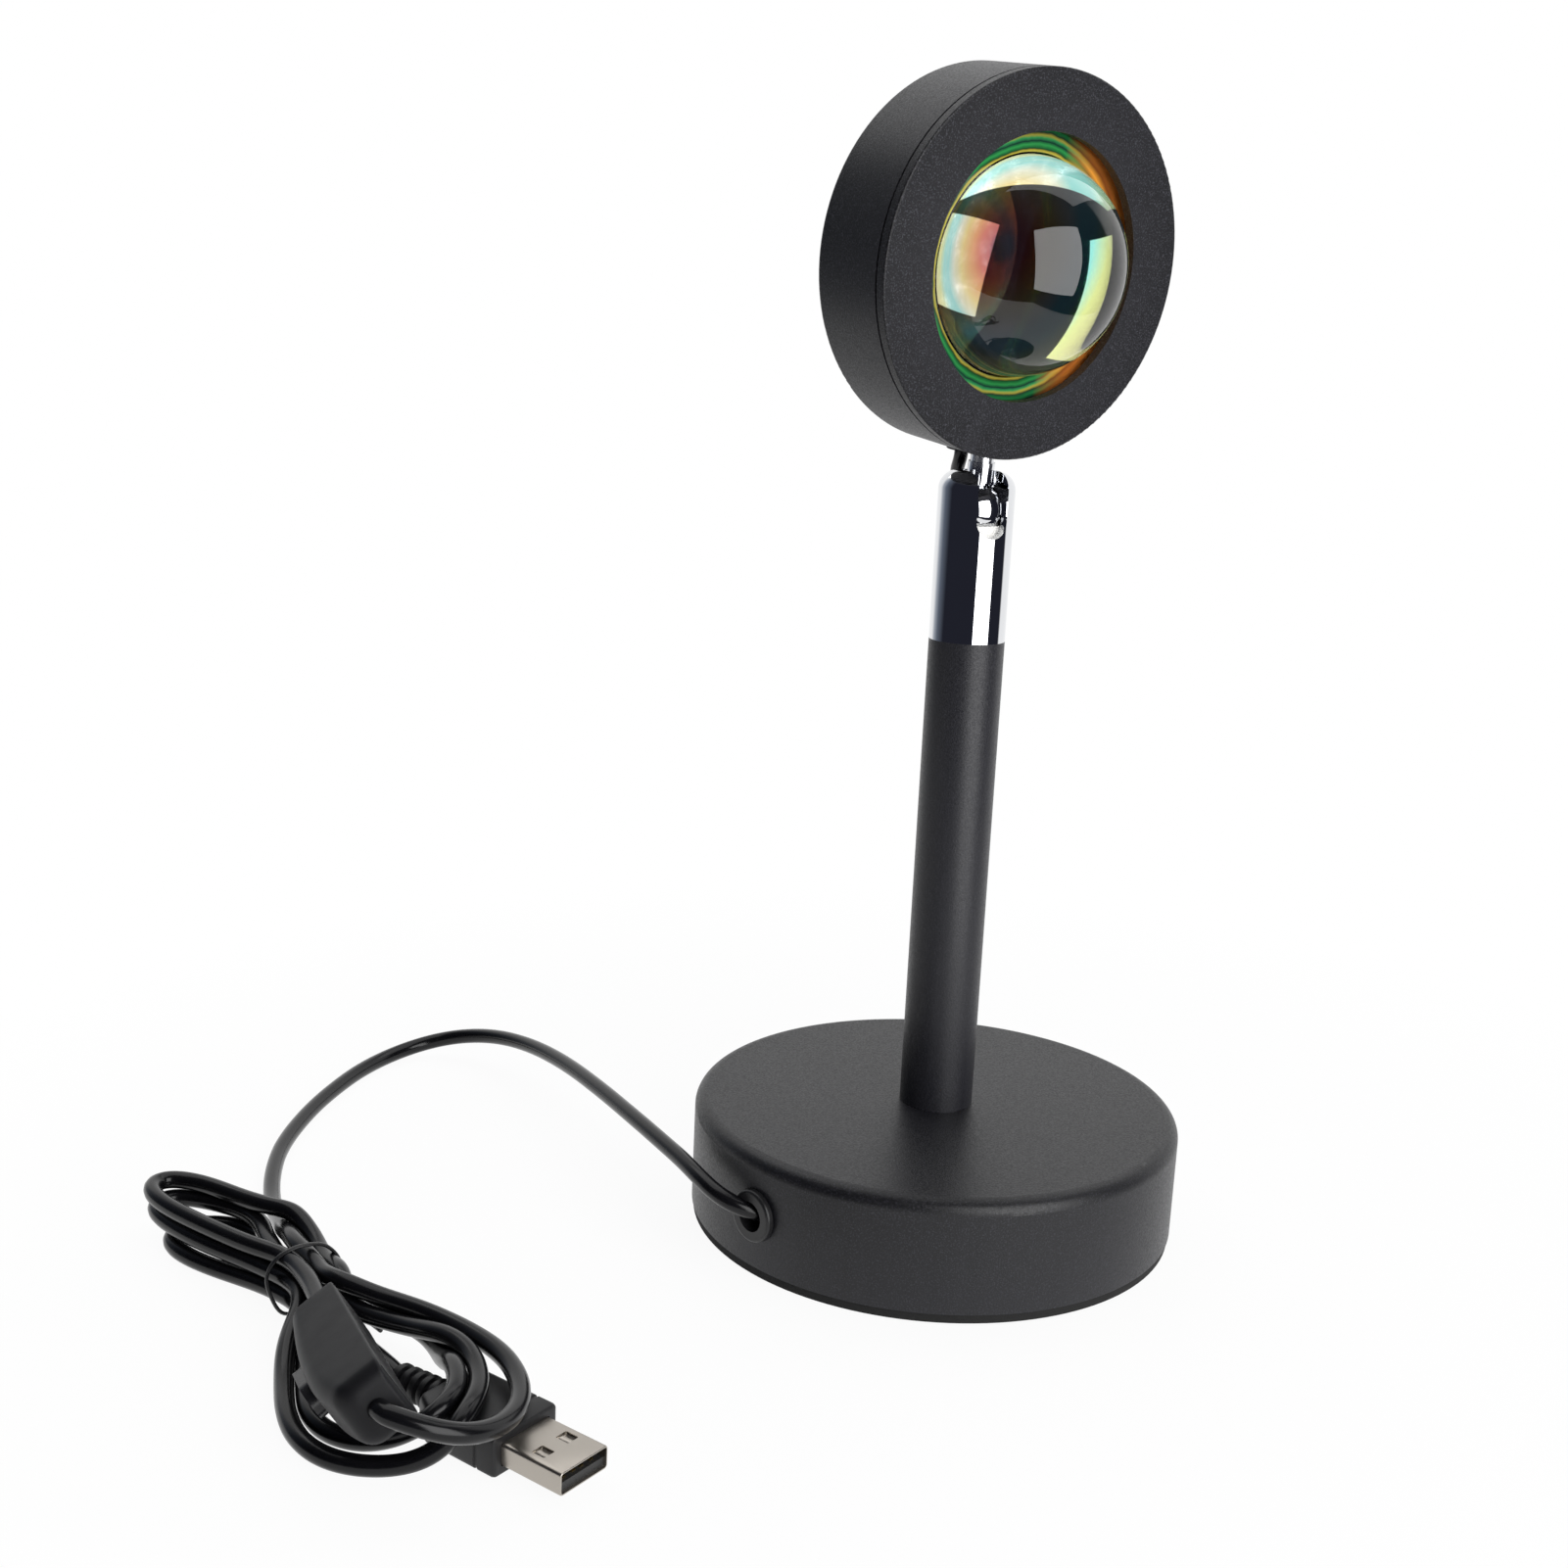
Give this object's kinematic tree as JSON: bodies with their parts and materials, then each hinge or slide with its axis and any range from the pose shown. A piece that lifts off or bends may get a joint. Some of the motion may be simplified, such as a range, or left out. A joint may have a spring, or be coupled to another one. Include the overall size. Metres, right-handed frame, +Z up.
{
  "type": "sunset projection lamp",
  "caption": "Small table projection lamp: disc head with a bulging lens on a slotted ball joint, straight pole, round base, and a tied supply cord with inline switch and plug.",
  "frame": {"origin": "middle of the base's underside, on the table", "axes": "+Z up along the pole; the lens looks along -Y, leaning a little down; the supply cord leaves the base towards -X"},
  "size_m": [0.2179, 0.2043, 0.2517],
  "materials": {
    "black_powder": "fine-textured black powder coat",
    "head_paint": "fine-textured black paint on aluminium",
    "ballast_iron": "raw grey iron",
    "pad_foam": "matt black foam rubber",
    "grommet_rubber": "smooth black rubber",
    "steel_zinc": "zinc plated",
    "nipple_brass": "plain brass",
    "joint_chrome": "polished chrome plate",
    "cup_acetal": "natural acetal",
    "gasket_silicone": "matt black silicone",
    "lens_glass": "clear polished glass",
    "filter_glass": "dichroic coated glass",
    "holder_plastic": "matt black plastic",
    "board_white": "white solder mask on aluminium",
    "emitter_yellow": "yellow phosphor",
    "wire_red": "thin wire insulation",
    "cord_black": "glossy black vinyl",
    "tie_black": "black plastic ribbon",
    "switch_plastic": "semi-gloss moulded black plastic",
    "button_plastic": "glossy black plastic",
    "contact_brass": "plain brass strip",
    "plug_vinyl": "satin black vinyl",
    "plug_nickel": "nickel plated sheet",
    "tongue_plastic": "black plastic",
    "contact_gold": "gold flashed strip"
  },
  "bodies": {
    "stand": {"base_shell": "black_powder", "base_ballast": "ballast_iron", "foot_pad": "pad_foam", "outlet_grommet": "grommet_rubber", "base_washer": "steel_zinc", "base_nut": "steel_zinc", "pole_nipple": "nipple_brass", "pole_bush": "steel_zinc", "pole": "black_powder", "joint_tube": "joint_chrome", "spring_plug": "nipple_brass", "joint_spring": "steel_zinc", "thrust_cup": "cup_acetal", "lead_bush": "grommet_rubber", "inner_lead": "cord_black", "head_lead": "cord_black", "cord_arch": "cord_black", "cord_hank": "cord_black", "cord_bight": "cord_black", "cord_tail": "cord_black", "cord_tie": "tie_black", "switch_shell": "switch_plastic", "switch_base": "switch_plastic", "switch_contacts": "contact_brass", "plug_mould": "plug_vinyl", "plug_relief": "plug_vinyl", "plug_shell": "plug_nickel", "plug_tongue": "tongue_plastic", "plug_contacts": "contact_gold"},
    "knuckle": {"joint_ball": "joint_chrome"},
    "head": {"stem": "joint_chrome", "stem_nut": "steel_zinc", "stem_washer": "steel_zinc", "head_housing": "head_paint", "front_ring": "head_paint", "lens_gasket": "gasket_silicone", "lens": "lens_glass", "dichroic_filter": "filter_glass", "lens_holder": "holder_plastic", "holder_screws": "steel_zinc", "led_board": "board_white", "led_emitter": "emitter_yellow", "board_screws": "steel_zinc", "led_wires": "wire_red", "head_grommet": "grommet_rubber"},
    "button": {"switch_button": "button_plastic"}
  },
  "joints": [
    {"name": "head_tilt", "type": "hinge", "parent": "stand", "child": "knuckle", "pos_m": [0, 0, 0.1612], "axis": [0.9781, -0.2079, 0], "range_deg": [-7.5, 82.5], "deforming": ["head_lead"]},
    {"name": "head_spin", "type": "hinge", "parent": "knuckle", "child": "head", "pos_m": [0, 0, 0.1612], "axis": [-0.0271, -0.1277, 0.9914], "range_deg": [-90, 90], "deforming": ["head_lead"]},
    {"name": "switch_press", "type": "slide", "parent": "stand", "child": "button", "axis": [0.8424, -0.0931, 0.5307], "range_m": [0, 0.0012], "stiffness_N_per_m": 400}
  ]
}
